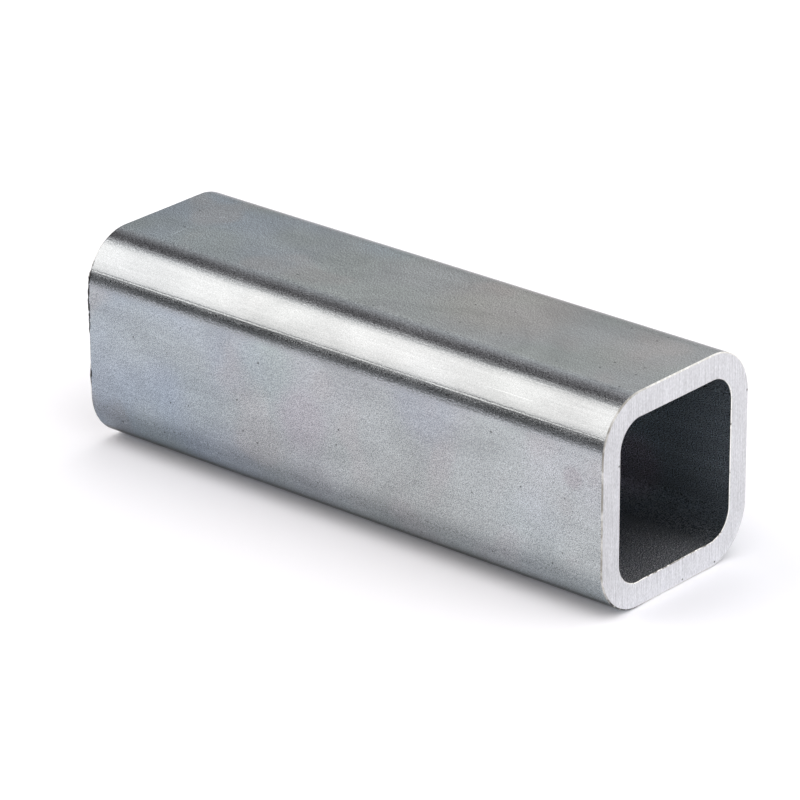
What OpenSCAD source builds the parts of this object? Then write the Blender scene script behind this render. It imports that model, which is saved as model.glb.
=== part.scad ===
// Cut length of square precision steel tube, lying on one flat.
// The section is one wall thickness all round: the arcs of each corner share
// one centre, inside and outside. Both ends are sawn square to the length, and
// their rims are broken lightly, outside and in the bore.

/* [Section] */
// Outside width and height of the square section, in mm
side = 50; // [40:0.5:120]
// Thickness of the wall, in mm
wall = 6; // [1.5:0.1:7.5]
// Outside radius of the four long corners, in mm
corner_r = 12.5; // [8:0.5:18]

/* [Cut piece] */
// Length from one sawn end to the other, in mm
length = 148; // [20:1:1000]
// Edge break on the outer rim of each sawn end, in mm
rim_break = 0.3; // [0.1:0.05:0.7]
// Edge break at each mouth of the bore, in mm
mouth_break = 0.2; // [0.1:0.05:0.7]

/* [Hidden] */
$fn = 96;

// Width and corner radius of the bore follow from the wall
bore = side - 2 * wall;
bore_r = corner_r - wall;

// How far a cutting tool runs past the sawn ends
overrun = 1;

// Square outline with round corners, centred on the origin
module section(width, radius) {
    reach = width / 2 - radius;
    square([width, 2 * reach], center = true);
    square([2 * reach, width], center = true);
    for (a = [-1, 1], b = [-1, 1])
        translate([a * reach, b * reach]) circle(r = radius);
}

// Straight bar of that outline, standing on the origin
module bar(width, radius, height) {
    linear_extrude(height) section(width, radius);
}

// Low frustum of that outline: every side leans in at 45 degrees, the flats as
// planes and the corners as cones, so that it narrows by its own height
module bevel(width, radius, height) {
    reach = width / 2 - radius;
    for (a = [-1, 1], b = [-1, 1])
        translate([a * reach, b * reach])
            cylinder(h = height, r1 = radius, r2 = radius - height);
    for (turn = [0, 90])
        rotate([90, 0, turn])
            linear_extrude(2 * reach, center = true)
                polygon([
                    [-width / 2, 0], [width / 2, 0],
                    [width / 2 - height, height], [height - width / 2, height]
                ]);
}

// Repeats what it is given at both ends of the cut piece, facing outwards
module both_ends() {
    for (end = [0, 1])
        mirror([0, 0, end]) translate([0, 0, length / 2]) children();
}

// Solid blank: a bar between two bevelled rims
module blank() {
    shank = length - 2 * rim_break;
    translate([0, 0, -shank / 2]) bar(side, corner_r, shank);
    both_ends()
        translate([0, 0, -rim_break]) bevel(side, corner_r, rim_break);
}

// The bore: a straight passage that flares at both mouths
module passage() {
    reach = length + 2 * overrun;
    flare = mouth_break + overrun;
    translate([0, 0, -reach / 2]) bar(bore, bore_r, reach);
    both_ends()
        translate([0, 0, overrun]) mirror([0, 0, 1])
            bevel(bore + 2 * flare, bore_r + flare, flare);
}

// The tube: blank less bore, laid down along X with its lower flat on the floor
module tube() {
    color([0.66, 0.69, 0.71])
        translate([0, 0, side / 2]) rotate([90, 0, 90])
            difference() {
                blank();
                passage();
            }
}

tube();
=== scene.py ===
# %% [markdown]
# # A sawn length of square steel tube
#
# The object is one piece of stock: a short length of square steel tube with a
# thick wall, large round corners and an open bore. It has no moving part, so
# all of its character is in the steel: a skin that was drawn through a die,
# two faces that a saw left, and a bore that hardly any light reaches.
#
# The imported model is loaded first. It fixes the size and the place of
# everything that follows, and it is never moved or changed.

import bpy
import numpy as np
from mathutils import Matrix, Vector


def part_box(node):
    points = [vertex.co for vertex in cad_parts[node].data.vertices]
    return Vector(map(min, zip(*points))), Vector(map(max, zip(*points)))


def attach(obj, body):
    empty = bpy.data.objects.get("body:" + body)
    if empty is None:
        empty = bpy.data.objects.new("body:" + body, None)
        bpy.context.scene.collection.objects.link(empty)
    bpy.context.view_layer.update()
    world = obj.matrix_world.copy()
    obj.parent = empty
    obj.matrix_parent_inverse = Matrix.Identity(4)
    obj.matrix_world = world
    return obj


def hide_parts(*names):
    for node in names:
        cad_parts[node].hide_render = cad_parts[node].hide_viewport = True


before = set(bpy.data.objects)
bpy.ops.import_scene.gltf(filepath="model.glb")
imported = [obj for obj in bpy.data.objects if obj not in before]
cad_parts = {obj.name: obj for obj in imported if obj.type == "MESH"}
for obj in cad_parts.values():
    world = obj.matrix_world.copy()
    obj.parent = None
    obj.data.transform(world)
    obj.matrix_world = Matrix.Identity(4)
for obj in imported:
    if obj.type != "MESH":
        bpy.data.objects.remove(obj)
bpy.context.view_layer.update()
scene = bpy.context.scene
MM = 0.001

# %% [markdown]
# ## The camera
#
# A long lens from far away keeps the tube's edges nearly parallel, as in a
# product photograph. The camera could be set by its angles, but a small error
# of angle moves the picture a long way at this distance. So its place and its
# two directions are given outright: where it stands, which way it looks, and
# which way is right in the picture. The third direction follows from the two.

# %% Camera
SENSOR = 36.0
LENS = 227.52
STAND = Vector((0.66731, -0.77695, 0.46495))
LOOK = Vector((-0.599809, 0.695221, -0.396101))
RIGHT = Vector((0.75842, 0.65175, -0.004537))

look = LOOK.normalized()
up = RIGHT.cross(look).normalized()
right = look.cross(up)
aim = Matrix((right, up, -look)).transposed().to_4x4()
camera = bpy.data.objects.new("camera", bpy.data.cameras.new("camera"))
camera.data.sensor_width = SENSOR
camera.data.lens = LENS
camera.matrix_world = Matrix.Translation(STAND) @ aim
scene.collection.objects.link(camera)
scene.camera = camera
print("camera stands", round(STAND.length, 3), "m from the tube")

# %% [markdown]
# ## The section
#
# A square tube is drawn from a round one, so its wall keeps one thickness all
# the way round, and each corner's outer and inner arcs share a centre. That
# gives a simple rule for the whole section. Take a small square whose corners
# are those centres. A point of the section is a point of that square's edge
# plus rho times the outward normal: rho is the corner radius on the skin, and
# the corner radius less the wall in the bore. Along a flat the point on the
# square moves and the normal stays; round a corner the point stays and the
# normal turns.
#
# The surface could also be made from a rounded cube with a hole cut in it, but
# then its rows would not follow the steel, and the lines that the die left
# could not be laid along them.

# %% Section of the tube
low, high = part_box("tube")
SIDE = high[2] - low[2]
LENGTH = high[0] - low[0]
CORNER = 12.5 * MM
WALL = 6.0 * MM
BORE_CORNER = CORNER - WALL
FLAT = SIDE - 2 * CORNER
QUARTER = FLAT + CORNER * np.pi / 2
AROUND = 4 * QUARTER


def section(s):
    """Core point and outward normal, in (y, z), at distance s round the skin.

    Quarter number q = s over the length of a quarter, rounded down, and t is
    what is left. On the flat, t below its length, the core moves by t and the
    normal points down. After it the core rests at the corner's centre and the
    normal turns by (t - flat) / corner radius. The quarter is then turned by q
    right angles: below, back, top and front.
    """
    q, t = np.divmod(s, QUARTER)
    turn = np.clip(t - FLAT, 0, None) / CORNER
    core = np.stack([np.minimum(t, FLAT) - FLAT / 2, np.full_like(t, -FLAT / 2)])
    normal = np.stack([np.sin(turn), -np.cos(turn)])
    c, n = np.cos(q * np.pi / 2), np.sin(q * np.pi / 2)

    def turned(v):
        return np.stack([v[0] * c - v[1] * n, v[0] * n + v[1] * c])

    return turned(core), turned(normal)


print("round the skin:", round(AROUND / MM, 1), "mm, bore corner", round(BORE_CORNER / MM, 2), "mm")

# %% [markdown]
# ## The way round the wall
#
# Cut the tube along its length and the wall shows as a long thin bar: the skin
# on one side, the bore on the other and a sawn face at each end. One closed
# path runs round that bar. It is described by how far along the tube it is, x,
# and by rho. Carried round the section, the path gives the whole tube as one
# closed grid with no seam to weld.
#
# Rows are crowded together next to each edge. A smooth shaded surface turns
# its normals between one row and the next, so a wide row beside an edge would
# look swollen, and a narrow one keeps the flat looking flat.

# %% Path round the wall
RIM_BREAK = 0.3 * MM
MOUTH_BREAK = 0.2 * MM
END = LENGTH / 2
SKIN, SAWN, BORE, EDGE = range(4)


def straight(start, end, rows, zone):
    """Points from start towards end, the last one left out, crowded at both ends.

    The share of the way covered is half of one minus the cosine of half a
    turn, which starts and stops slowly.
    """
    share = 0.5 - 0.5 * np.cos(np.pi * np.arange(rows) / rows)
    points = np.outer(1 - share, start) + np.outer(share, end)
    return points, np.full(rows, zone)


def broken_edge(centre, radius, first, last, rows):
    """Quarter circle about a centre in (x, rho), from one angle to another in degrees."""
    angle = np.radians(first + (last - first) * np.arange(rows) / rows)
    points = np.asarray(centre) + radius * np.stack([np.cos(angle), np.sin(angle)], 1)
    return points, np.full(rows, EDGE)


pieces_of_path = [
    straight((-END + RIM_BREAK, CORNER), (END - RIM_BREAK, CORNER), rows=36, zone=SKIN),
    broken_edge((END - RIM_BREAK, CORNER - RIM_BREAK), RIM_BREAK, 90, 0, rows=4),
    straight((END, CORNER - RIM_BREAK), (END, BORE_CORNER + MOUTH_BREAK), rows=14, zone=SAWN),
    broken_edge((END - MOUTH_BREAK, BORE_CORNER + MOUTH_BREAK), MOUTH_BREAK, 0, -90, rows=5),
    straight((END - MOUTH_BREAK, BORE_CORNER), (-END + MOUTH_BREAK, BORE_CORNER), rows=24, zone=BORE),
    broken_edge((-END + MOUTH_BREAK, BORE_CORNER + MOUTH_BREAK), MOUTH_BREAK, 270, 180, rows=4),
    straight((-END, BORE_CORNER + MOUTH_BREAK), (-END, CORNER - RIM_BREAK), rows=10, zone=SAWN),
    broken_edge((-END + RIM_BREAK, CORNER - RIM_BREAK), RIM_BREAK, 180, 90, rows=5),
]
path = np.concatenate([points for points, zone in pieces_of_path])
zones = np.concatenate([zone for points, zone in pieces_of_path])
print("path of", len(path), "points")

# %% [markdown]
# ## Steps round the section
#
# Even steps of 0.3 mm draw the corners well. Two places need finer ones: the
# pair of lines that the die left low on the front top corner, and the ragged
# burr that the saw left round the lower half of the near mouth.

# %% Places round the section
FLOOR_START, BACK_START, TOP_START, FRONT_START = (q * QUARTER for q in range(4))
BACK_END = BACK_START + FLAT


def corner_place(degrees):
    """Distance round the skin of an angle on the front top corner, 0 at the front and 90 on top."""
    return TOP_START + FLAT + CORNER * np.radians(90 - degrees)


def scored(s, centre, width):
    """Depth, 0 to 1, of a scored line: a bell curve of the distance to its middle."""
    return np.exp(-(((s - centre) / width) ** 2))


def window(s, start, end, fade):
    """1 between two places round the skin, and falling evenly to 0 over the fade."""
    outside = np.maximum(start - s, s - end)
    return np.clip(1 - np.clip(outside, 0, None) / fade, 0, 1)


corner_ends = [round(corner_place(degrees) / MM, 1) for degrees in (90, 0)]
print("front top corner, in mm round the skin:", corner_ends)

# %% Smooth random curves
SEED = 24
random = np.random.default_rng(SEED)


def wander(s, step):
    """Smooth random curve between -1 and 1 at places s round the skin.

    Random heights stand at even steps. Between two of them the curve is their
    mix by 3 u squared minus 2 u cubed, where u is the share of the step
    covered. The last height is joined to the first.
    """
    count = int(round(AROUND / step))
    place = s / AROUND * count
    height = random.uniform(-1, 1, count)
    index = np.floor(place).astype(int)
    u = place - index
    u = u * u * (3 - 2 * u)
    return height[index % count] * (1 - u) + height[(index + 1) % count] * u


def layered(s, base, *layers):
    """A base level plus smooth random curves, each given by its step and its share."""
    total = base
    for step, share in layers:
        total = total + share * wander(s, step)
    return total


# %% Grid of the whole tube
STEP = 0.3 * MM
LAST_GAP = 0.2 * MM
TOO_CLOSE = 0.02 * MM
LINES_MIDDLE = 22
even = np.arange(0, AROUND - LAST_GAP, STEP)
across_lines = corner_place(LINES_MIDDLE) + np.linspace(-0.9, 0.9, 31) * MM
along_burr = np.arange(STEP / 2, BACK_END, STEP)
s = np.union1d(np.union1d(even, across_lines), along_burr)
s = s[np.append(True, np.diff(s) > TOO_CLOSE)]
core, normal = section(s)
x = np.repeat(path[None, :, 0], len(s), 0)
rho = np.repeat(path[None, :, 1], len(s), 0)
print("grid of", x.shape[0], "by", x.shape[1], "points")

# %% [markdown]
# ## What the die left
#
# A perfect skin would give perfect reflections, and those look like plastic.
# The die scores fine lines that run the whole length. One pair of them, a
# groove and the ridge beside it, is large enough to see: it lies where the
# bright reflection starts. The rest only bend the reflections a little, so
# that the edge of a dark line is never quite straight.

# %% Lines from the die
LINE_DEPTH = 0.006 * MM
LINE_WIDTH = 0.12 * MM
GROOVE_AT, RIDGE_AT = 23.4, 21.9
RIDGE_SHARE = 0.8
WAVE_DEPTH = 0.004 * MM
on_skin = np.isclose(rho, CORNER)
groove = scored(s, corner_place(GROOVE_AT), LINE_WIDTH)
ridge = scored(s, corner_place(RIDGE_AT), LINE_WIDTH)
waves = layered(s, 0, (0.7 * MM, 0.12), (1.6 * MM, 0.3), (4.0 * MM, 0.6))
rho -= on_skin * (LINE_DEPTH * (groove - RIDGE_SHARE * ridge) + WAVE_DEPTH * waves)[:, None]
print("deepest line:", round(float((CORNER - rho[on_skin]).max() / MM), 4), "mm")

# %% [markdown]
# ## What the saw left
#
# The edges were broken by hand, so their width changes along the rim. On the
# far rim a little of the saw's burr still stands, as a broken dark line. At
# the near mouth the burr was folded into the bore: ragged along the floor and
# round the lower back corner, and thin up the back, with one nick in it.
#
# Each is a lip: a few rows of the path are pushed out, by a height that is a
# random curve round the section times a window that says where the burr is.

# %% Worn rims
WEAR = 0.08 * RIM_BREAK
at_rim = (zones == EDGE) & (path[:, 1] > CORNER - 1.5 * RIM_BREAK)
wear = WEAR * np.abs(layered(s, 0, (5.0 * MM, 1), (1.7 * MM, 0.5)))
x -= (at_rim * np.sign(path[:, 0]))[None, :] * wear[:, None]
rho -= at_rim[None, :] * 0.5 * wear[:, None]
print("rims worn by up to", round(float(wear.max() / MM), 3), "mm")

# %% Burr on the far rim
RIM_BURR = 0.25 * MM
RIM_LIP = np.array((0.2, 0.6, 1.0, 1.0, 0.5))
far_rim = np.flatnonzero(at_rim & (path[:, 0] < 0))
upper = window(s, FRONT_START - 4 * MM, FRONT_START + 9 * MM, 2 * MM)
lower = window(s, FRONT_START + 18.5 * MM, FRONT_START + 22.5 * MM, 1 * MM)
stands = np.maximum(upper, lower)
jagged = layered(s, 0.4, (3.4 * MM, 0.3), (1.2 * MM, 0.4), (0.6 * MM, 0.25))
rise = RIM_BURR * (stands * np.clip(jagged, 0, 1))[:, None] * RIM_LIP
rho[:, far_rim] += rise
x[:, far_rim] -= 0.5 * rise
print("far burr stands", round(float(rise.max() / MM), 2), "mm proud")

# %% Burr in the near mouth
BURR = 0.42 * MM
BURR_LIP = np.array((0.15, 0.5, 0.9, 1.0, 0.7))
NICK = BACK_START + 18.5 * MM
NICK_WIDTH = 0.3 * MM
at_mouth = (zones == EDGE) & (path[:, 1] < BORE_CORNER + 1.5 * MOUTH_BREAK)
mouth = np.flatnonzero(at_mouth & (path[:, 0] > 0))
ragged = layered(s, 0.5, (4.0 * MM, 0.28), (1.5 * MM, 0.15), (0.6 * MM, 0.12))
thin = layered(s, 0.25, (2.4 * MM, 0.15))
low_part = window(s, FLOOR_START + 2 * MM, BACK_START - 3 * MM, 4 * MM)
back_part = window(s, BACK_START - 3 * MM, BACK_END, 3 * MM)
height = np.maximum(low_part * np.clip(ragged, 0.1, 1), back_part * thin)
height = height + 0.9 * scored(s, NICK, NICK_WIDTH)
fold = BURR * height[:, None] * BURR_LIP
rho[:, mouth] -= fold
x[:, mouth] += 0.45 * fold
print("near burr stands", round(float(fold.max() / MM), 2), "mm into the bore")

# %% [markdown]
# ## The tube as one mesh
#
# The grid closes in both directions, like a ring, so its faces are found by
# stepping each index by one and wrapping round. The whole array goes into the
# mesh at once. The signed volume shows whether the faces point outwards: it is
# the sum, over the faces, of the volume between each face and the origin.

# %% Build the mesh
CUBIC_CM = 1e-6
y = core[0][:, None] + rho * normal[0][:, None]
z = core[1][:, None] + rho * normal[1][:, None] + SIDE / 2
points = np.stack([x, y, z], -1).reshape(-1, 3)


def ring_faces(rows, columns):
    """Four corners of each face of a grid that is closed both ways."""
    i, j = np.meshgrid(np.arange(rows), np.arange(columns), indexing="ij")
    this_row, next_row = i * columns, (i + 1) % rows * columns
    next_j = (j + 1) % columns
    corners = (this_row + j, next_row + j, next_row + next_j, this_row + next_j)
    return np.stack(corners, -1).reshape(-1, 4)


def signed_volume(points, faces):
    """Sum over the faces of a . (b x c + c x d) / 6, with a, b, c, d the face's corners."""
    a, b, c, d = (points[faces[:, k]] for k in range(4))
    return float((a * (np.cross(b, c) + np.cross(c, d))).sum() / 6)


faces = ring_faces(*x.shape)
if signed_volume(points, faces) < 0:
    faces = faces[:, ::-1]
mesh = bpy.data.meshes.new("drawn_tube")
mesh.from_pydata(points.tolist(), [], faces.tolist())
mesh.polygons.foreach_set("use_smooth", np.ones(len(faces), bool))
mesh.polygons.foreach_set("material_index", np.tile(zones, x.shape[0]).astype(np.int32))
mesh.update()
tube = bpy.data.objects.new("drawn_tube", mesh)
scene.collection.objects.link(tube)
steel_volume = signed_volume(points, faces) / CUBIC_CM
print(len(faces) * 2, "triangles,", round(steel_volume, 2), "cubic centimetres of steel")

# %% [markdown]
# ## Tools for patterns
#
# A pattern is a chain of small nodes: arithmetic, and ramps that carry one
# range of numbers to another. Written out one by one they would hide what the
# pattern does, so a few short helpers add them. The same helpers serve the
# finishes here and the studio's light further down.

# %% Helpers for nodes
# The Mix node has sockets for each kind of data. These are the ones for colour.
MIX_SHARE, MIX_A, MIX_B, MIX_RESULT = 0, 6, 7, 2


class Nodes:
    """Short ways to add the nodes that a pattern needs."""

    def __init__(self, tree):
        self.tree = tree

    def feed(self, socket, value):
        """Links a socket to another, or sets it to a value."""
        if isinstance(value, bpy.types.NodeSocket):
            self.tree.links.new(value, socket)
        else:
            socket.default_value = value

    def add(self, kind, settings=None, **inputs):
        """Adds a node of a kind, with its settings and its inputs."""
        node = self.tree.nodes.new("ShaderNode" + kind)
        for key, value in (settings or {}).items():
            setattr(node, key, value)
        for key, value in inputs.items():
            self.feed(node.inputs[key], value)
        return node

    def math(self, operation, a, b=0.0):
        """Result of one step of arithmetic."""
        node = self.add("Math", {"operation": operation})
        self.feed(node.inputs[0], a)
        self.feed(node.inputs[1], b)
        return node.outputs[0]

    def times(self, *values):
        """Product of several values."""
        product = values[0]
        for value in values[1:]:
            product = self.math("MULTIPLY", product, value)
        return product

    def largest(self, *values):
        """Largest of several values."""
        largest = values[0]
        for value in values[1:]:
            largest = self.math("MAXIMUM", largest, value)
        return largest

    def ramp(self, value, low, high, out_low, out_high, smooth=True):
        """Carries a value from one range to another, held at both ends."""
        kind = "SMOOTHSTEP" if smooth else "LINEAR"
        node = self.add("MapRange", {"interpolation_type": kind}, Value=value)
        names = ("From Min", "From Max", "To Min", "To Max")
        for name, number in zip(names, (low, high, out_low, out_high)):
            self.feed(node.inputs[name], number)
        return node.outputs["Result"]

    def band(self, value, starts, full, fades, ends):
        """1 inside a band of values: it rises from starts to full and falls from fades to ends."""
        return self.times(self.ramp(value, starts, full, 0, 1), self.ramp(value, fades, ends, 1, 0))

    def mix(self, share, a, b, blend="MIX"):
        """Mixes two colours, or two ways of changing one."""
        node = self.add("Mix", {"data_type": "RGBA", "blend_type": blend})
        self.feed(node.inputs[MIX_SHARE], share)
        self.feed(node.inputs[MIX_A], a)
        self.feed(node.inputs[MIX_B], b)
        return node.outputs[MIX_RESULT]

    def tinted(self, share, colour, tint):
        """A colour multiplied by a tint where the share is 1, and left alone where it is 0."""
        return self.mix(share, colour, tint, "MULTIPLY")


def grey(value, red=1.0, green=1.0, blue=1.0):
    """Colour of one lightness, tinted by a factor for each channel."""
    return (value * red, value * green, value * blue, 1.0)


# %% [markdown]
# ## What a finish is
#
# Every finish of the tube is a metal, and a metal's colour is what it does to
# its reflections. So each finish is built from the same few things: a colour
# that drifts a little, a roughness and fine relief. The patterns read the
# place on the object itself, so they stay with the steel from any side.

# %% Helpers for finishes


class Finish(Nodes):
    """One material, with the patterns that its shader reads."""

    def __init__(self, name):
        self.material = bpy.data.materials.new(name)
        self.material.use_nodes = True
        super().__init__(self.material.node_tree)
        self.shader = self.tree.nodes["Principled BSDF"]
        self.place = self.tree.nodes.new("ShaderNodeTexCoord").outputs["Object"]
        apart = self.add("SeparateXYZ", Vector=self.place)
        self.x, self.y, self.z = (apart.outputs[k] for k in "XYZ")

    def noise(self, size, stretch=(1, 1, 1), detail=2.0, rough=0.5, twist=0.0):
        """Cloudy pattern from 0 to 1 whose clouds are about size across.

        Each axis of the place is scaled by the stretch first, so a small number
        draws the pattern out along that axis.
        """
        stretched = self.add("Mapping", Vector=self.place, Scale=stretch).outputs["Vector"]
        settings = {"Scale": 1 / size, "Detail": detail, "Roughness": rough, "Distortion": twist}
        return self.add("TexNoise", Vector=stretched, **settings).outputs["Fac"]

    def dots(self, spacing, radius, share):
        """1 in the middle of small round dots. That share of the cells holds one each."""
        cells = self.add("TexVoronoi", Vector=self.place, Scale=1 / spacing)
        cell_number = self.add("SeparateXYZ", Vector=cells.outputs["Color"]).outputs["X"]
        chosen = self.math("LESS_THAN", cell_number, share)
        dot = self.ramp(cells.outputs["Distance"], 0.3 * radius / spacing, radius / spacing, 1, 0)
        return self.times(dot, chosen)

    def near(self, point, radius):
        """1 at a place on the object, falling to 0 at the radius."""
        return self.ramp(self.distance(point), 0.4 * radius, radius, 1, 0)

    def distance(self, point):
        """How far the place is from a point on the object."""
        away = self.add("VectorMath", {"operation": "DISTANCE"})
        self.feed(away.inputs[0], self.place)
        away.inputs[1].default_value = point
        return away.outputs["Value"]

    def scratch(self, start, end, z, width):
        """1 on a straight scratch at one height, with its ends in mm, falling to 0 at its sides.

        On the scratch the distances to its two ends add up to its length. Half
        a width beside its middle the sum is larger, by the square of the width
        over twice the length.
        """
        start, end = (Vector((x * MM, y * MM, z)) for x, y in (start, end))
        length = (end - start).length
        both = self.math("ADD", self.distance(start), self.distance(end))
        return self.ramp(both, length, length + width**2 / (2 * length), 1, 0)

    def on(self, mask, factor):
        """A factor that is 1 off the mask and the given number on it."""
        return self.ramp(mask, 0, 1, 1, factor)

    def shaded(self, colour, *factors):
        """A colour made lighter or darker by each factor."""
        return self.tinted(1.0, colour, self.times(*factors))

    def relief(self, height, depth, below=None):
        """Turns a height from 0 to 1 into relief of that depth, on top of what lies below."""
        node = self.add("Bump", Height=height, Distance=depth)
        if below:
            self.feed(node.inputs["Normal"], below)
        return node.outputs["Normal"]

    def metal(self, colour, roughness, normal=None):
        """Sets the shader to a bare metal, and gives the material to the tube."""
        self.feed(self.shader.inputs["Base Color"], colour)
        self.feed(self.shader.inputs["Roughness"], roughness)
        self.shader.inputs["Metallic"].default_value = 1.0
        if normal:
            self.feed(self.shader.inputs["Normal"], normal)
        mesh.materials.append(self.material)
        print(self.material.name, "has", len(self.tree.nodes), "nodes")


# %% [markdown]
# ## The drawn skin: a film of colour
#
# The skin was pulled through a die and pickled, and a thin film of oil and
# oxide is left on it. The film tints the steel. It is bluer towards the far
# end and low down, where oil has run together, and more neutral on top and on
# the bright corner, which rubs against everything.
#
# One noise could do all of this, but on the real piece certain clouds can be
# made out. So two faint noises mottle the whole skin, and a short list gives
# the clouds that show: a place, a radius and a tint that multiplies the film.

# %% Film of colour
STEEL = 0.41
FAR_FILM, NEAR_FILM = grey(STEEL, 0.895, 1.0, 1.14), grey(STEEL, 0.96, 1.0, 1.045)
GREEN, ROSE = grey(STEEL, 0.93, 1.01, 1.0), grey(STEEL, 1.0, 0.985, 1.015)
WARM_TOP, PAINTED_LIGHT_MID_TOP = grey(1.0, 1.045, 1.0, 0.975), grey(1.05)
OILY_LOW = grey(1.0, 0.965, 1.0, 1.03)

skin = Finish("drawn_skin")
film = skin.mix(skin.ramp(skin.x, -60 * MM, 0, 0, 1), FAR_FILM, NEAR_FILM)
film = skin.mix(skin.ramp(skin.noise(26 * MM, detail=1.0), 0.4, 0.6, 0, 0.5), film, GREEN)
film = skin.mix(skin.ramp(skin.noise(17 * MM, detail=1.0), 0.56, 0.68, 0, 0.5), film, ROSE)
on_top = skin.ramp(skin.z, 47 * MM, 49.5 * MM, 0, 1)
film = skin.tinted(on_top, film, WARM_TOP)
# Painted reflection: the middle of the top is lighter, as if the backdrop it mirrors were lit more
# there.
from_middle = skin.math("ABSOLUTE", skin.math("ADD", skin.x, 5 * MM))
mid_top_painted_light = skin.times(on_top, skin.ramp(from_middle, 12 * MM, 45 * MM, 1, 0))
film = skin.tinted(mid_top_painted_light, film, PAINTED_LIGHT_MID_TOP)
film = skin.tinted(skin.ramp(skin.z, 5 * MM, 14 * MM, 1, 0), film, OILY_LOW)

# %% Clouds in the film
# Each cloud's middle and radius, in mm, and its tint: the side first, then the top.
CLOUDS = (
    ((-10, -25, 24), 10, grey(0.98, 1.03, 0.98, 1.0)),
    ((-20, -25, 33), 11, grey(1.0, 0.97, 1.01, 0.99)),
    ((-44, -25, 17), 14, grey(0.93, 0.98, 1.0, 1.02)),
    ((-58, -24, 9), 17, grey(0.91, 0.98, 1.0, 1.01)),
    ((25, -25, 38), 12, grey(0.98, 0.97, 0.99, 1.03)),
    ((22, -24, 9), 22, grey(0.93, 1.01, 1.0, 0.99)),
    ((66, -25, 32), 3.5, grey(0.87, 1.03, 0.98, 0.99)),
    ((55, -25, 17), 12, grey(1.02, 0.98, 1.0, 1.01)),
    ((-62, 22, 50), 40, grey(1.06)),
    ((-18, 18, 50), 12, grey(1.0, 0.96, 1.0, 1.04)),
    ((24, 6, 50), 22, grey(1.0, 1.06, 1.0, 0.97)),
    ((62, 3, 50), 14, grey(0.98, 1.03, 1.0, 0.99)),
)
for place, radius, cloud_tint in CLOUDS:
    centre = [value * MM for value in place]
    film = skin.tinted(skin.near(centre, radius * MM), film, cloud_tint)
print(len(CLOUDS), "clouds in the film")

# %% [markdown]
# ## The drawn skin: the bright corner
#
# The front top corner mirrors the soft box, so it shows far more than the
# flats do. Height less depth, z - y, is a simple measure of how far round the
# corner a place is: 62.5 mm where the corner meets each flat, and 67.7 mm half
# way between them. One mask takes in the whole corner and the other its
# middle, where the steel is rubbed bright. The upper dark line is a little
# rosier than the rest.

# %% Bright corner
CLEAN_STEEL = grey(STEEL, 0.95, 1.0, 1.045)
ROSY_LINE = grey(1.0, 1.04, 1.0, 1.02)
high_front = skin.math("SUBTRACT", skin.z, skin.y)
in_corner = skin.ramp(high_front, 63.2 * MM, 65.0 * MM, 0, 1)
in_middle = skin.ramp(high_front, 65.6 * MM, 66.8 * MM, 0, 1)
film = skin.mix(skin.times(in_corner, 0.85), film, CLEAN_STEEL)
upper_line = skin.band(skin.y, -19.5 * MM, -17.5 * MM, -16 * MM, -13 * MM)
film = skin.tinted(skin.times(on_top, upper_line), film, ROSY_LINE)
rubs = skin.noise(0.9 * MM, stretch=(0.04, 1, 1), detail=2.0, rough=0.6)
rub_contrast = skin.ramp(skin.x, 25 * MM, 70 * MM, 0.05, 0.17)
rubbed = skin.times(skin.math("SUBTRACT", rubs, 0.5), in_corner, rub_contrast)
at_edge, at_middle = 1.5 * SIDE - CORNER, 1.5 * SIDE + (2**0.5 - 2) * CORNER
print("z - y round the corner, in mm:", round(at_edge / MM, 1), "to", round(at_middle / MM, 1))

# %% [markdown]
# ## The drawn skin: grain, lines and marks
#
# The pickling leaves an even fine grain with a few small pits, and the die
# draws lines along the length. Grain is both colour and relief. The colour
# shows on the flats, and most of all where the bright corner begins and ends.
# The relief has two sizes: one too fine to see, which dulls, and one that
# frays the edges of the dark lines a little.
#
# Handling left a few scratches on top, and a long light one on the bright
# corner. Each is a long thin ellipse, thick in the middle and thin at its ends,
# as a scratch is.

# %% Grain
# How much the grain changes the colour on each part of the skin.
SIDE_GRAIN, FAR_TOP_GRAIN, NEAR_TOP_GRAIN = 2.8, 2.5, 1.6
LOWER_LINE_GRAIN, UPPER_LINE_GRAIN, FRAYED_GRAIN, BRIGHT_GRAIN = 5.1, 1.2, 3.1, 0.75

grain = skin.noise(0.17 * MM, stretch=(0.85, 0.45, 1), detail=1.0, rough=0.6)
top_grain = skin.ramp(skin.x, 0, 50 * MM, FAR_TOP_GRAIN, NEAR_TOP_GRAIN)
flat_grain = skin.ramp(on_top, 0, 1, SIDE_GRAIN, top_grain)
beside_line = skin.ramp(high_front, 64.5 * MM, 65.5 * MM, 0, 1)
line_grain = skin.ramp(on_top, 0, 1, LOWER_LINE_GRAIN, UPPER_LINE_GRAIN)
edge_grain = skin.ramp(beside_line, 0, 1, flat_grain, line_grain)
fray = skin.band(skin.y, -20 * MM, -17.8 * MM, -17 * MM, -14.8 * MM)
frayed = skin.times(skin.ramp(skin.z, 40 * MM, 45 * MM, 0, 1), fray, FRAYED_GRAIN)
even_grain = skin.ramp(in_middle, 0, 1, edge_grain, BRIGHT_GRAIN)
grain_contrast = skin.math("ADD", even_grain, frayed)
grainy = skin.times(skin.math("SUBTRACT", grain, 0.5), grain_contrast)
dimples = skin.noise(0.4 * MM, stretch=(0.8, 0.6, 1), detail=0.0)
lines = skin.noise(0.6 * MM, stretch=(0.05, 1, 1), detail=2.0, rough=0.6)
drifts = skin.noise(16 * MM, stretch=(0.5, 0.8, 1), detail=2.0, twist=1.2)

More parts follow.
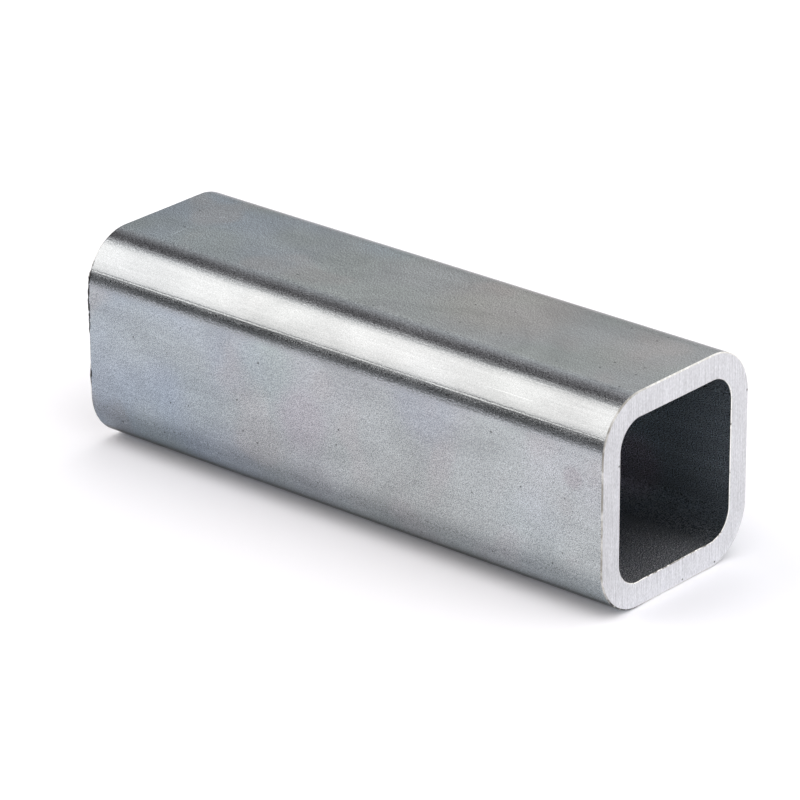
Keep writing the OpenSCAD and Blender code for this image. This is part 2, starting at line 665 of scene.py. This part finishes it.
# %% Marks
# Ends of the scratches in (x, y), in mm.
LIGHT_SCRATCHES = (
    ((-61.2, -10.9), (-61.5, -5.1)),
    ((-61.8, -4.9), (-60.5, -3.8)),
    ((-56.1, -0.2), (-54.6, 1.1)),
    ((-60.7, 3.8), (-59.0, 5.5)),
)
DARK_SCRATCHES = (
    ((61.5, -14.5), (64.6, -14.1)),
    ((66.7, -15.0), (70.1, -14.8)),
)
CORNER_SCRATCH = ((40.5, -22.5), (53.5, -22.5))
CORNER_SCRATCH_Z = 45 * MM
SCRATCH = 0.42 * MM
PIT_SPACING, PIT, PIT_SHARE = 4.2 * MM, 0.4 * MM, 0.7

pits = skin.times(skin.dots(PIT_SPACING, PIT, PIT_SHARE), skin.on(in_middle, 0.15))
on_corner = skin.times(skin.scratch(*CORNER_SCRATCH, CORNER_SCRATCH_Z, 0.65 * SCRATCH), 0.45)
light = [skin.scratch(start, end, SIDE, SCRATCH) for start, end in LIGHT_SCRATCHES]
light_marks = skin.largest(on_corner, *light)
dark = [skin.scratch(start, end, SIDE - 0.2 * MM, SCRATCH) for start, end in DARK_SCRATCHES]
dark_marks = skin.largest(*dark)
print(len(light) + len(dark) + 1, "scratches")

# %% Dark oxide at the far edge
OXIDE_SPOT = (-END, -SIDE / 2, 17 * MM)
patchy = skin.noise(1.3 * MM, stretch=(0.3, 1, 1), detail=2.0)
far_edge = skin.times(
    skin.ramp(skin.x, -END + 0.35 * MM, -END + 0.75 * MM, 1, 0),
    skin.largest(skin.ramp(skin.z, 27 * MM, 30 * MM, 0, 1), skin.near(OXIDE_SPOT, 2.5 * MM)),
    skin.ramp(skin.y, -24 * MM, -21 * MM, 1, 0),
    skin.ramp(patchy, 0.42, 0.5, 0, 1),
)

# %% [markdown]
# ## The drawn skin: put together
#
# Each pattern becomes a factor near one, and the film is multiplied by all of
# them. Painted light makes the near end lighter than the far end. Painted shade
# darkens a band across the low corners, deepest about 9 mm up, and a thin dark
# line along their bottom, just above the floor, where they mirror the tube's
# shadow. Four layers of relief go into the normal: long streaks that grow
# towards the near end, the die's lines, and two sizes of grain.
#
# Real steel dims a little before it whitens at a grazing angle. The specular
# tint does that, and it keeps a pale fringe off the back edge of the top.

# %% Colour of the skin
# Painted light: lighter towards the near end, and more so in its last 25 mm.
near_end_painted_light = skin.ramp(skin.x, 45 * MM, 70 * MM, 0, 0.05)
lengthwise_painted_light = skin.math("ADD", skin.ramp(skin.x, -END, END, 0.87, 1.03, False), near_end_painted_light)
# Painted shade: a thin dark line along the bottom of the low corners, 0.6 to 4.4 mm up.
foot_painted_shade = skin.band(skin.z, 0.6 * MM, 1.6 * MM, 3.3 * MM, 4.4 * MM)
colour = skin.shaded(
    film,
    skin.ramp(in_corner, 0, 1, lengthwise_painted_light, 1.01),
    # Painted shade: the next two factors darken a band across the low corners.
    skin.ramp(skin.z, 8.5 * MM, 15 * MM, 0.76, 1.0),
    skin.ramp(skin.z, 4.2 * MM, 9 * MM, 1.35, 1.0),
    skin.on(foot_painted_shade, 0.38),
    skin.ramp(drifts, 0.3, 0.7, 0.92, 1.08),
    skin.math("MAXIMUM", skin.math("ADD", grainy, 1.0), 0.0),
    skin.math("ADD", rubbed, 1.0),
    skin.ramp(lines, 0.2, 0.8, 0.94, 1.06, False),
    skin.on(pits, 0.35),
    skin.on(light_marks, 1.5),
    skin.on(dark_marks, 0.65),
    skin.on(far_edge, 0.1),
)

# %% Relief and shader of the skin
STREAK_DEPTH, LINE_RELIEF = 0.034 * MM, 0.006 * MM
DIMPLE_DEPTH, GRAIN_DEPTH = 0.012 * MM, 0.008 * MM
streaks = skin.noise(1.1 * MM, stretch=(0.06, 1, 1), detail=2.0)
towards_near = skin.ramp(skin.x, 0, 70 * MM, 0.3, 1.0)
normal_of_skin = skin.relief(skin.times(streaks, towards_near), STREAK_DEPTH)
normal_of_skin = skin.relief(lines, LINE_RELIEF, normal_of_skin)
normal_of_skin = skin.relief(dimples, DIMPLE_DEPTH, normal_of_skin)
normal_of_skin = skin.relief(grain, GRAIN_DEPTH, normal_of_skin)
gloss = skin.ramp(skin.noise(20 * MM, detail=2.0), 0.3, 0.7, 0.17, 0.22)
skin.shader.inputs["Specular Tint"].default_value = grey(0.5)
skin.metal(colour, gloss, normal_of_skin)

# %% [markdown]
# ## The sawn faces
#
# A saw leaves fresh bright metal in fine parallel scores. They are far too
# shallow to model one by one, so they are relief in the finish: a pattern that
# is drawn out fifty times along the height and is narrow across it. A few
# specks of swarf stick to the near face. Painted light makes the faces lighter
# towards the bottom and a little darker towards the front.

# %% Sawn faces
FRESH_STEEL = grey(0.65, 0.985, 0.99, 1.02)
SCORE_DEPTH = 0.012 * MM
# Places of the specks in (y, z), in mm.
SPECKS = ((-19.5, 35.0), (2.9, 0.9), (14.2, 1.0), (24.5, 38.0))
SPECK = 0.33 * MM

sawn = Finish("sawn_face")
scores = sawn.noise(0.2 * MM, stretch=(0, 1, 0.02), detail=1.0, rough=0.6)
speckle = sawn.noise(0.22 * MM, stretch=(1, 1, 0.4), detail=1.0)
swarf = sawn.largest(*[sawn.near((END, y * MM, z * MM), SPECK) for y, z in SPECKS])
fresh_steel_and_painted_light = sawn.shaded(
    FRESH_STEEL,
    # Painted light: lighter towards the bottom, and darker towards the front edge.
    sawn.ramp(sawn.z, 0, 14 * MM, 1.12, 0.98),
    sawn.ramp(sawn.y, -25 * MM, -12 * MM, 0.95, 1.0),
    sawn.ramp(scores, 0.25, 0.75, 0.88, 1.12),
    sawn.ramp(speckle, 0.2, 0.8, 0.84, 1.16, False),
    sawn.on(swarf, 0.2),
)
sawn.metal(fresh_steel_and_painted_light, 0.6, sawn.relief(scores, SCORE_DEPTH))

# %% [markdown]
# ## The bore
#
# The inside was never polished: it is darker and duller than the skin, with
# faint lines along it from the plug that held the tube open. Painted light and
# shade make it a little lighter in its depth than at its mouths, and darker low
# down and towards its top. It has one purple cloud. Dust from the saw lies on
# its floor behind the near mouth, brownish and speckled, and painted light makes
# that floor paler towards the mouth.

# %% Scale and painted shade in the bore
BLUE_GREY, PURPLE = grey(0.45, 0.88, 1.0, 1.12), grey(0.45, 1.03, 0.96, 1.12)
PURPLE_CLOUD = (48 * MM, 19 * MM, 15 * MM)

bore = Finish("bore_skin")
bore_lines = bore.noise(2.4 * MM, stretch=(0.02, 1, 1), detail=2.0)
bore_grain = bore.noise(0.2 * MM, stretch=(0.6, 1, 1), detail=1.0, rough=0.6)
bore_contrast = bore.ramp(bore.z, 8 * MM, 18 * MM, 3.6, 5.8)
bore_grainy = bore.times(bore.math("SUBTRACT", bore_grain, 0.5), bore_contrast)
scale_and_painted_shade = bore.shaded(
    bore.mix(bore.near(PURPLE_CLOUD, 10 * MM), BLUE_GREY, PURPLE),
    bore.ramp(bore_lines, 0.3, 0.7, 0.93, 1.07),
    bore.math("MAXIMUM", bore.math("ADD", bore_grainy, 1.0), 0.0),
    # Painted shade and light: darker low down and towards the top, lighter deeper in than at the
    # mouths.
    bore.ramp(bore.z, 5 * MM, 13 * MM, 0.55, 1.0),
    bore.ramp(bore.z, 13 * MM, 21 * MM, 0.6, 0.79),
    bore.ramp(bore.z, 34 * MM, 44 * MM, 1.0, 0.65),
    bore.ramp(bore.math("ABSOLUTE", bore.x), END - 30 * MM, END - 14 * MM, 1.3, 0.9),
)

# %% Dust and painted light on the floor of the bore
DUST_AND_LIGHT, CHIP = grey(0.92, 1.0, 0.98, 1.02), grey(1.0)
CHIP_SPACING, CHIP_RADIUS, CHIP_SHARE = 1.1 * MM, 0.3 * MM, 0.55
BORE_LINE_DEPTH = 0.004 * MM

# Painted light and pale speckles: the floor of the bore grows paler towards the near mouth.
behind_mouth = bore.times(
    bore.ramp(bore.z, 6.5 * MM, 9 * MM, 1, 0),
    bore.ramp(bore.x, END - 34 * MM, END - 1 * MM, 0, 1),
    bore.ramp(bore.y, 4 * MM, 19 * MM, 1, 0.1),
)
dust_and_painted_light = bore.times(behind_mouth, bore.ramp(bore_grain, 0.46, 0.6, 0.05, 1.0))
chips = bore.times(behind_mouth, bore.dots(CHIP_SPACING, CHIP_RADIUS, CHIP_SHARE))
dusty_and_lit = bore.mix(chips, bore.mix(dust_and_painted_light, scale_and_painted_shade, DUST_AND_LIGHT), CHIP)
bore.metal(dusty_and_lit, 0.5, bore.relief(bore_lines, BORE_LINE_DEPTH))

# %% [markdown]
# ## The broken edges
#
# A file has taken the sharpness off the near edges. What is left is a thin
# line of bare metal that is smoother than the sawn face, with a warmer tint
# where the tool rubbed. The burr in the mouth is torn steel: cream where it
# tore and a little brown in between. The far rim was worked less: its burr is
# still dark with oxide along the front.

# %% Filed rims
DULL_FILED, BRIGHT_FILED = grey(0.62, 1.0, 0.98, 0.93), grey(0.78, 1.0, 0.99, 0.97)
BROWN, LOW_RIM_DARK = grey(0.2, 1.0, 0.93, 0.8), grey(0.06)
LOW_RIM_SPOT = (END, -18 * MM, 2 * MM)

edge = Finish("broken_edge")
scuffs = edge.noise(0.8 * MM, detail=2.0)
patches = edge.noise(3 * MM, detail=2.0)
filed = edge.mix(edge.ramp(scuffs, 0.4, 0.6, 0, 1), DULL_FILED, BRIGHT_FILED)
bare = edge.largest(
    edge.ramp(patches, 0.4, 0.6, 0.2, 0.7),
    edge.ramp(edge.y, -16 * MM, -8 * MM, 0, 1),
)
filed = edge.mix(bare, BROWN, filed)
# Dark spots low on the near rim's front corner, just above the floor.
darkened_low_rim = edge.times(edge.near(LOW_RIM_SPOT, 9 * MM), edge.ramp(scuffs, 0.42, 0.5, 0, 1))
filed = edge.mix(darkened_low_rim, filed, LOW_RIM_DARK)

# %% Torn burr in the mouth
TORN_BROWN, TORN_CREAM = grey(0.27, 1.0, 0.95, 0.84), grey(0.95, 1.0, 0.99, 0.94)
up_the_back = edge.ramp(edge.y, 15 * MM, 18 * MM, 0, 0.09)
tears = edge.math("ADD", edge.noise(1.7 * MM, detail=3.0, rough=0.7), up_the_back)
torn = edge.mix(edge.ramp(tears, 0.42, 0.52, 0, 1), TORN_BROWN, TORN_CREAM)
above_axis = edge.math("ABSOLUTE", edge.math("SUBTRACT", edge.z, SIDE / 2))
inner = edge.largest(edge.math("ABSOLUTE", edge.y), above_axis)
in_mouth = edge.times(
    edge.ramp(inner, SIDE / 2 - WALL + 0.5 * MM, SIDE / 2 - WALL + 0.8 * MM, 1, 0),
    edge.largest(
        edge.ramp(edge.z, 9 * MM, 14 * MM, 1, 0),
        edge.ramp(edge.y, 16 * MM, 18 * MM, 0, 1),
    ),
    edge.ramp(edge.x, 0, END / 2, 0, 1),
)

# %% Oxide on the far rim
OXIDE = grey(0.04)
oxidised = edge.times(
    edge.ramp(edge.x, -END, -END + 2 * MM, 1, 0),
    edge.ramp(edge.y, -SIDE / 2 + 0.4 * MM, -SIDE / 2 + 3 * MM, 1, 0),
    edge.ramp(edge.noise(2.2 * MM, detail=2.0), 0.34, 0.42, 0.2, 1),
    edge.largest(edge.ramp(edge.z, 26 * MM, 29 * MM, 0.3, 1), edge.near(OXIDE_SPOT, 3 * MM)),
)
edge.metal(edge.mix(oxidised, edge.mix(in_mouth, filed, torn), OXIDE), 0.4)

# %% [markdown]
# ## The floor
#
# Plain pale paper, which keeps the tube's shadow. It is opaque from above and
# clear from below, so that the underside can be looked at too. The tube's
# bottom nearly touches it, and would still be black with no light between the
# two. So the paper has an opening there, a little smaller than the bottom,
# which can't be seen from above.

# %% Floor
FLOOR_RADIUS = 4.0
FLOOR_SIDES = 96
FLOOR_DROP = 0.05 * MM
PAPER = (0.96, 0.955, 0.99, 1.0)

turn = np.linspace(0, 2 * np.pi, FLOOR_SIDES, endpoint=False)
drop = np.full(FLOOR_SIDES, -FLOOR_DROP)
disc = np.stack([FLOOR_RADIUS * np.cos(turn), FLOOR_RADIUS * np.sin(turn), drop], 1)
floor_mesh = bpy.data.meshes.new("floor")
floor_mesh.from_pydata(disc.tolist(), [], [list(range(FLOOR_SIDES))])
floor = bpy.data.objects.new("floor", floor_mesh)
scene.collection.objects.link(floor)
paper = Finish("floor_paper")
paper.shader.inputs["Base Color"].default_value = PAPER
paper.shader.inputs["Roughness"].default_value = 0.9
paper.shader.inputs["Specular IOR Level"].default_value = 0.0
underside = paper.add("NewGeometry").outputs["Backfacing"]
opening = paper.times(
    paper.ramp(paper.math("ABSOLUTE", paper.y), FLAT / 2 - 0.8 * MM, FLAT / 2 - 0.4 * MM, 1, 0),
    paper.ramp(paper.math("ABSOLUTE", paper.x), END - 1.2 * MM, END - 0.8 * MM, 1, 0),
)
opaque = paper.math("SUBTRACT", 1.0, paper.largest(underside, opening))
paper.feed(paper.shader.inputs["Alpha"], opaque)
floor_mesh.materials.append(paper.material)
print("floor of", FLOOR_RADIUS, "m radius,", FLOOR_DROP / MM, "mm below the tube")

# %% [markdown]
# ## The studio's light
#
# Bare metal looks like what is round it, so the studio is part of the finish.
# Seen from the camera, the front of this tube is a mirror that is bent into a
# quarter circle. As its normal turns from the front flat to the top, the ray
# that it sends back sweeps up from the floor in front, over the tube and down
# to the backdrop behind. So the studio is written as a function of that angle:
# a dark gap, a bright soft box, a dark gap, a pale backdrop. The gaps show as
# the two dark lines beside the bright one, and those lines are what makes the
# corner look like steel.
#
# The ray also leans towards the far end. On the near side the light is another
# one: broad and soft, from overhead and behind, and weak in front. It lights
# the sawn face and gives the tube a short soft shadow in front.
#
# Lamps could do this too, but a world that is bright in some directions and
# dark in others is simpler, and it is the same wherever the tube lies. The
# angle is measured round the tube's length, from the horizon in front, over
# the top, to the horizon behind. It is the arc tangent of height over distance
# in front.
#
# The soft box hangs a little askew, and the backdrop more so: their edges
# shift with how far the ray leans along the tube. The box's lower edge is
# soft, because its cloth hangs in two layers, and its light is a little warm.
# The last line of the level keeps the horizon, and all that lies below it,
# pale on all sides.

# %% Angle of a ray
world = bpy.data.worlds.new("studio")
scene.world = world
world.use_nodes = True
sky = Nodes(world.node_tree)
heading = sky.add("SeparateXYZ", Vector=sky.add("TexCoord").outputs["Generated"])
along, across, height_of_ray = (heading.outputs[k] for k in "XYZ")
angle = sky.math("ARCTAN2", height_of_ray, sky.math("MULTIPLY", across, -1.0))


def turning(value, place, before, after):
    """Goes smoothly from one level to another at a place: an angle and its feather, in degrees."""
    middle, feather = place
    start, end = np.radians(middle - feather), np.radians(middle + feather)
    return sky.ramp(value, start, end, before, after)


# %% Brightness of the studio
SOFT_BOX, FRONT_GAP, TOP_GAP, BACKDROP = 2.12, 0.1, 0.15, 0.92
FIRST_CLOTH, SECOND_CLOTH = 0.88, 0.12
NEAR_FRONT, NEAR_LIGHT, NEAR_END = 0.68, 1.33, 1.75
HORIZON = 1.05
LEAN, BOX_ASKEW, BACKDROP_ASKEW = 0.61, 0.49, 1.7
# Places where the level turns: the angle and its feather on each side, in degrees.
FIRST_CLOTH_START, SECOND_CLOTH_START, BOX_END = (15, 9), (36, 14), (88.2, 13.4)
BACKDROP_START, OVERHEAD_START = (125, 21), (61, 12)

on_far_side = sky.ramp(along, -0.46, -0.14, 1, 0)
leaning = sky.math("ADD", along, LEAN)
box_angle = sky.math("ADD", angle, sky.math("MULTIPLY", leaning, BOX_ASKEW))
backdrop_angle = sky.math("ADD", angle, sky.math("MULTIPLY", leaning, BACKDROP_ASKEW))
first_cloth = turning(angle, FIRST_CLOTH_START, FRONT_GAP, FIRST_CLOTH * SOFT_BOX)
second_cloth = turning(angle, SECOND_CLOTH_START, 0, SECOND_CLOTH * SOFT_BOX)
box = sky.math("ADD", first_cloth, second_cloth)
far_side = turning(box_angle, BOX_END, box, TOP_GAP)
far_side = turning(backdrop_angle, BACKDROP_START, far_side, BACKDROP)
near_side = turning(angle, OVERHEAD_START, NEAR_FRONT, NEAR_LIGHT)
level = sky.ramp(on_far_side, 0, 1, near_side, far_side, False)
level = sky.ramp(along, 0.4, 0.75, level, NEAR_END)
level = sky.ramp(height_of_ray, 0.09, 0.15, HORIZON, level)

# %% Tint of the studio
PLAIN, BACKDROP_TINT = grey(1.0, 1.005), grey(1.0, 0.955, 1.0, 1.0)
BOX_TINT = grey(1.0, 1.05, 1.0, 0.95)
BOX_TINT_START, BOX_TINT_END, BACKDROP_TINT_START = (15, 10), (88, 12), (120, 16)

in_box = sky.times(
    on_far_side,
    turning(angle, BOX_TINT_START, 0, 1),
    turning(angle, BOX_TINT_END, 1, 0),
)
behind = sky.times(on_far_side, turning(angle, BACKDROP_TINT_START, 0, 1))
tint = sky.mix(behind, sky.mix(in_box, PLAIN, BOX_TINT), BACKDROP_TINT)
background = sky.tree.nodes["Background"]
sky.feed(background.inputs["Strength"], level)
sky.feed(background.inputs["Color"], tint)
print("studio of", len(sky.tree.nodes), "nodes")

# %% [markdown]
# ## The card in front
#
# A photographer puts a black card beside bare metal to draw a dark line on it.
# Here it lies on the floor in front, folded up along its far side, and it
# fades out at its edges so that the line is soft. Its near edge comes a little
# closer at the tube's far end. It shows in reflections only: no camera sees
# it, and it takes no light from the floor.

# %% Card
CARD_LYING, CARD_FOLD, CARD_HIGH = 0.08, 0.5, 0.2
CARD_LEFT, CARD_RIGHT = -1.4, 1.0
CARD_BLACK = (0.1, 0.1, 0.1, 1.0)
CARD_ASKEW = 0.05

card_y = (-CARD_LYING, -CARD_FOLD, -CARD_FOLD)
card_z = (MM, MM, CARD_HIGH)
card_points = [(end, y, z) for end in (CARD_LEFT, CARD_RIGHT) for y, z in zip(card_y, card_z)]
card_mesh = bpy.data.meshes.new("black_card")
card_mesh.from_pydata(card_points, [], [(0, 1, 4, 3), (1, 2, 5, 4)])
card = bpy.data.objects.new("black_card", card_mesh)
scene.collection.objects.link(card)
card.visible_camera = False
card.visible_diffuse = False
card.visible_shadow = False
card.visible_transmission = False
print("card from", CARD_LYING, "to", CARD_FOLD, "m in front, up to", CARD_HIGH, "m high")

# %% Felt of the card
felt = Finish("black_felt")
felt.shader.inputs["Base Color"].default_value = CARD_BLACK
felt.shader.inputs["Specular IOR Level"].default_value = 0.0
askew = felt.ramp(felt.x, -0.3, 0.0, CARD_ASKEW, -CARD_ASKEW, False)
out = felt.math("SUBTRACT", askew, felt.y)
solid = felt.times(
    felt.ramp(out, CARD_LYING, CARD_FOLD, 0, 1),
    felt.ramp(felt.z, 0.01, 0.06, 0.88, 1),
    felt.ramp(felt.z, 0.13, CARD_HIGH, 1, 0),
)
felt.feed(felt.shader.inputs["Alpha"], solid)
card_mesh.materials.append(felt.material)
print("felt of", len(felt.tree.nodes), "nodes")

# %% [markdown]
# ## Hand over
#
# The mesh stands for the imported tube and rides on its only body. The colour is
# left as it is: a plain view transform shows it as it was written.

# %% Finish
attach(tube, "root")
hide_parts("tube")
scene.view_settings.view_transform = "Standard"
